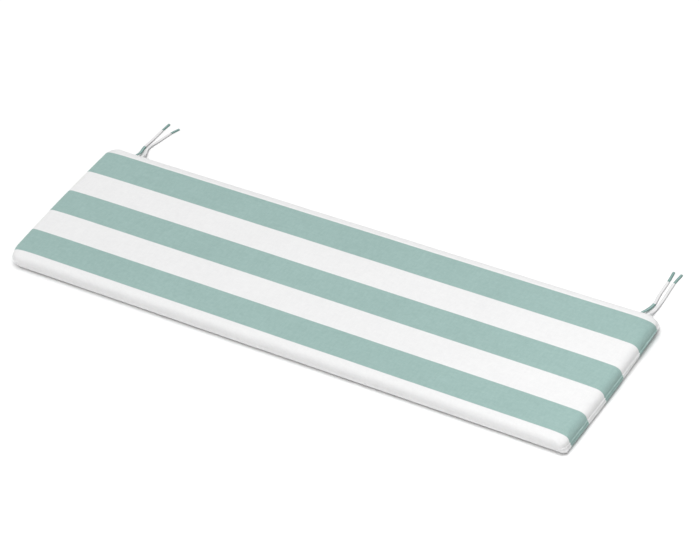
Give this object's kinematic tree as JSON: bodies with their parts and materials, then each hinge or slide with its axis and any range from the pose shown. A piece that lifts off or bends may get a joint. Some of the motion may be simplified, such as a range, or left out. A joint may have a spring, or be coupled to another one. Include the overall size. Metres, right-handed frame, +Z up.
{
  "type": "bench cushion",
  "caption": "Long slim bench cushion, foam filled, with broad lengthwise stripes, a plain seam round its side and pairs of tie tapes at the back edge.",
  "frame": {"origin": "middle of the flat underside", "axes": "+X along the length, to the right seen from the front; +Y from the front edge to the back edge with the ties; +Z up, out of the sitting face"},
  "size_m": [1.7995, 0.6993, 0.05],
  "materials": {
    "striped_cloth": "woven cotton blend, matt, broad sage green and white stripes",
    "tie_tape": "folded and stitched tape of the same cloth"
  },
  "bodies": {
    "root": {"cushion": "striped_cloth", "tie_right_outer": "tie_tape", "tie_right_inner": "tie_tape", "tie_left_inner": "tie_tape", "tie_left_outer": "tie_tape"}
  },
  "joints": []
}
